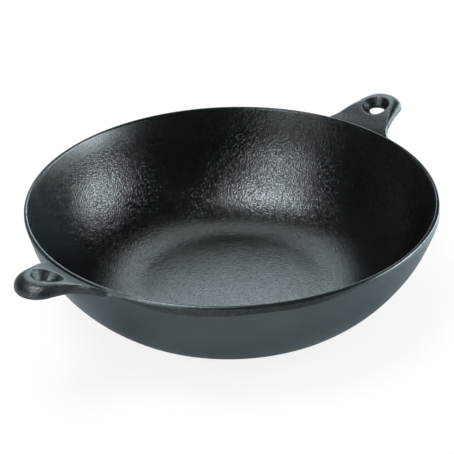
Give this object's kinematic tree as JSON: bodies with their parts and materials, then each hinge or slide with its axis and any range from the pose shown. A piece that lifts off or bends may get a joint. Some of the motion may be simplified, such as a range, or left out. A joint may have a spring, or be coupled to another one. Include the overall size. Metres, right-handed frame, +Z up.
{
  "type": "grill wok",
  "caption": "Deep round cast-iron grill wok with a flat base, a ground band round its rim and arched lug handles pierced by funnel-shaped eyes.",
  "frame": {"origin": "centre of the flat base, on the surface that the wok stands on", "axes": "+X towards handle_right, +Z up out of the bowl, +Y completes a right-handed frame"},
  "size_m": [0.4126, 0.32, 0.1033],
  "materials": {
    "cast_iron": "as cast, seasoned to a satin black"
  },
  "bodies": {
    "root": {"bowl": "cast_iron", "handle_left": "cast_iron", "handle_right": "cast_iron"}
  },
  "joints": []
}
